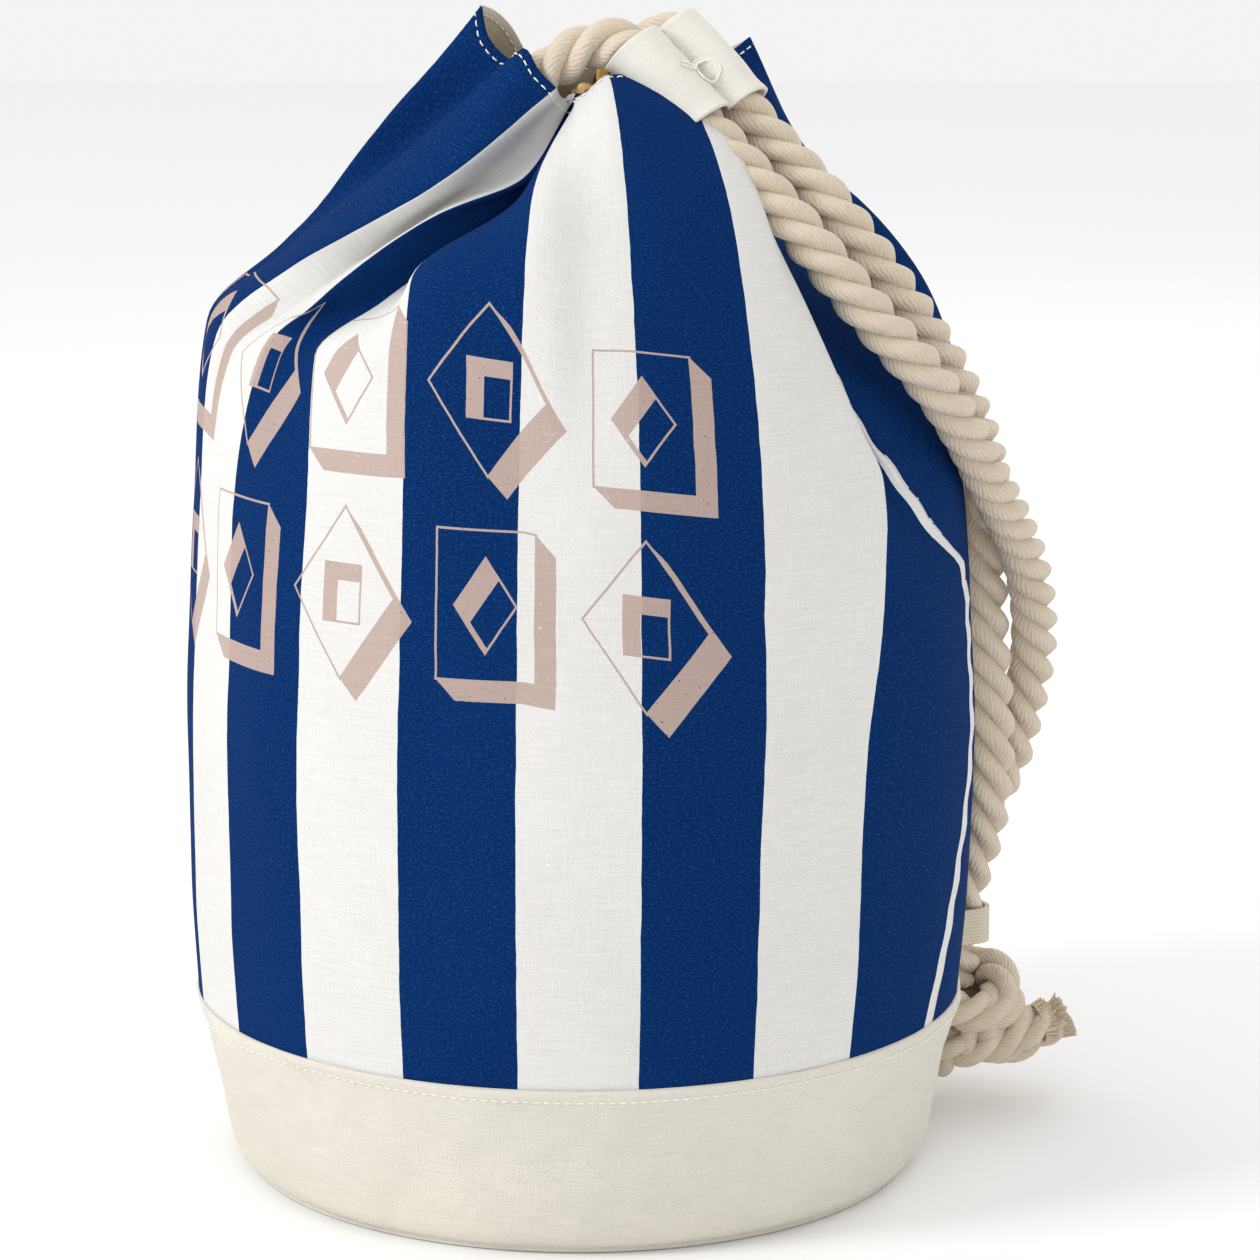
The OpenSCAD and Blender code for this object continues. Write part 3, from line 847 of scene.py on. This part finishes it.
band_ob = mesh_object("natural_band", band.reshape(-1, 3), f, uv, "cloth", [MAT_BAND, MAT_INSIDE])
solidify(band_ob, BAND_T, -1, 1)
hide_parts("base_band")
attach(band_ob, "bag")
row = int(np.argmin(np.abs(prof[:, 1] - BAND_STITCH_Z)))
ring = np.vstack([band[row], band[row][:1]])
out = np.stack([np.r_[np.sin(az), 0], np.r_[-np.cos(az), -1], np.zeros(BAND_COLS + 1)], 1)
band_stitch = dashes("band_stitches", ring, out, node="band_topstitching")

# ---------------------------------------------------------------- the keeper
slide_x = unit(rear_at(0) - front_at(0))
slide_y = np.cross(slide_dir, slide_x)


def keeper_section(waist, radius, n=30):
    """Round both ropes: two loops of a figure that narrows between them."""
    a = np.radians(np.linspace(waist, 360 - waist, n))
    b = np.radians(np.linspace(180 + waist, 540 - waist, n))
    loop = np.vstack([np.c_[radius * np.cos(a), radius * np.sin(a)],
                      np.c_[PAIR_STEP + radius * np.cos(b), radius * np.sin(b)]])
    for _ in range(2):
        loop = 0.5 * loop + 0.25 * (np.roll(loop, 1, 0) + np.roll(loop, -1, 0))
    return loop


KEEP_ROWS = 44
rows = []
for i in range(KEEP_ROWS):
    k = i / (KEEP_ROWS - 1)
    mid = math.exp(-(((k - 0.5) / 0.30) ** 2))
    flare = math.exp(-((k / 0.08) ** 2)) + math.exp(-(((1 - k) / 0.08) ** 2))
    loop = keeper_section(24 - 10 * mid, 10.9 + 0.7 * flare)
    share = np.clip(loop[:, 0] / PAIR_STEP, -0.5, 1.5)
    s = (2 + 2 * share) * (1 - k) + (42 + 2 * share) * k
    hump = 1.6 * np.sin(PI * k) * np.clip(share, 0, 1)
    ripple = np.array([noise.noise(Vector((x * 0.12, y * 0.12, along * 0.09)))
                       for (x, y), along in zip(loop, s)])
    y = loop[:, 1] + np.where(loop[:, 1] > 0, hump, 0)
    grow = 1 + 0.05 * ripple
    pts = (front_at(0) + s[:, None] * slide_dir + loop[:, :1] * slide_x
           + (y * grow)[:, None] * slide_y)
    pts[:, 2] -= 0.03 * np.clip(8 - s, 0, None) ** 2
    rows.append(pts * MM)
rows = np.array(rows)
n_loop = rows.shape[1]
f = grid_faces(KEEP_ROWS, n_loop, wrap=True)
ju = f % n_loop
ju = np.where((ju == 0) & (f[:, :1] % n_loop == n_loop - 1), n_loop, ju)
uv = np.stack([ju * 0.105 / n_loop, (f // n_loop) * 0.042 / KEEP_ROWS], -1).reshape(-1, 2)
keeper = mesh_object("keeper_sleeve_cloth", rows.reshape(-1, 3), f, uv, "cloth", [MAT_KEEPER])
solidify(keeper, KEEPER_T, 0)
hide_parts("keeper_sleeve")
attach(keeper, "keeper")


def on_keeper(x, s, lift):
    """A point on the keeper's outer face."""
    k = np.clip((s - 9) / 37, 0, 1)
    loop = keeper_section(38, 10.9)
    top = loop[loop[:, 1] > 0]
    order = np.argsort(top[:, 0])
    y = np.interp(x, top[order, 0], top[order, 1])
    y += 1.6 * math.sin(PI * k) * np.clip(x / PAIR_STEP, 0, 1)
    return (front_at(0) + s * slide_dir + x * slide_x + (y + lift) * slide_y) * MM


def thread_tube(paths, name, radius, node, body):
    verts, faces, base = [], [], 0
    for p in paths:
        path, _ = even(catmull(np.array(p), 6), 0.0005)
        _, n, b = frames(path)
        phi = np.linspace(0, TAU, 7, endpoint=False)
        across = np.cos(phi)[None, :, None] * n[:, None] + np.sin(phi)[None, :, None] * b[:, None]
        ring = path[:, None] + radius * across
        verts.append(ring.reshape(-1, 3))
        faces.append(grid_faces(len(path), 7, wrap=True) + base)
        base += len(path) * 7
    ob = mesh_object(name, np.vstack(verts), np.vstack(faces), mats=[MAT_THREAD])
    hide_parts(node)
    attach(ob, body)


loops = []
for turn, (rx, rs_) in enumerate(((4.6, 5.2), (4.0, 4.7), (5.0, 4.4))):
    loops.append([on_keeper(10.2 + rx * math.cos(q), 27 + 0.4 * turn + rs_ * math.sin(q),
                            0.6 + 0.25 * turn)
                  for q in np.linspace(0.4 * turn, TAU + 0.4 * turn, 22)])
loops.append([on_keeper(5.5, 24, 0.8), on_keeper(3, 21.5, 1.6), on_keeper(1.5, 20, 1.2)])
loops.append([on_keeper(5.4, 25, 0.8), on_keeper(2.4, 23.8, 1.5), on_keeper(0, 21, 1.4)])
thread_tube(loops, "keeper_tack_thread", 0.00038, "keeper_tack", "keeper")

# ---------------------------------------------------------------- carried-over CAD nodes


def repaint(node, mat):
    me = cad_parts[node].data
    if not me.materials:
        me.materials.append(mat)
    for i in range(len(me.materials)):
        me.materials[i] = mat


def cad_canvas(name, base):
    m = Nodes(name, rough=0.92, Sheen_Weight=0.1)
    n = m.tree.nodes.new("ShaderNodeSeparateXYZ")
    m.tree.links.new(m.place(), n.inputs[0])
    x, y, z = (E(m, n.outputs[i]) for i in range(3))
    h = weave_height(m, x + z, y + z, 0.0012)
    return m.finish(m.shade(base, h * 0.14 + 0.82), h, 0.00022)


inside = cad_canvas("canvas_natural_inside", NATURAL)
for node in ("side_seam_allowance", "band_seam_tape", "base_disc", "base_binding"):
    repaint(node, inside)
repaint("anchor_tab", MAT_WEB)
repaint("anchor_tab_stitching", MAT_THREAD)
for i in range(1, 9):
    repaint(f"eyelet_{i}", MAT_BRASS)
    repaint(f"eyelet_washer_{i}", MAT_BRASS)

# ---------------------------------------------------------------- floor and world
FLOOR_HALF, FLOOR_Z = 4, -0.0005
corners = [(x * FLOOR_HALF, y * FLOOR_HALF, FLOOR_Z)
           for x, y in ((-1, -1), (1, -1), (1, 1), (-1, 1))]
floor = mesh_object("floor", corners, [(0, 1, 2, 3)], smooth=False)
pale = Nodes("floor_pale", rough=0.95)
speck = pale.noise3(pale.place(), 3.0) * 0.02 + 0.98
floor.data.materials.append(pale.finish(pale.shade(srgb(250, 250, 250), speck)))
world = bpy.data.worlds.new("studio")
world.use_nodes = True
world.node_tree.nodes["Background"].inputs[0].default_value = (1, 1, 1, 1)
world.node_tree.nodes["Background"].inputs[1].default_value = 0.9
scene.world = world

bpy.context.view_layer.update()
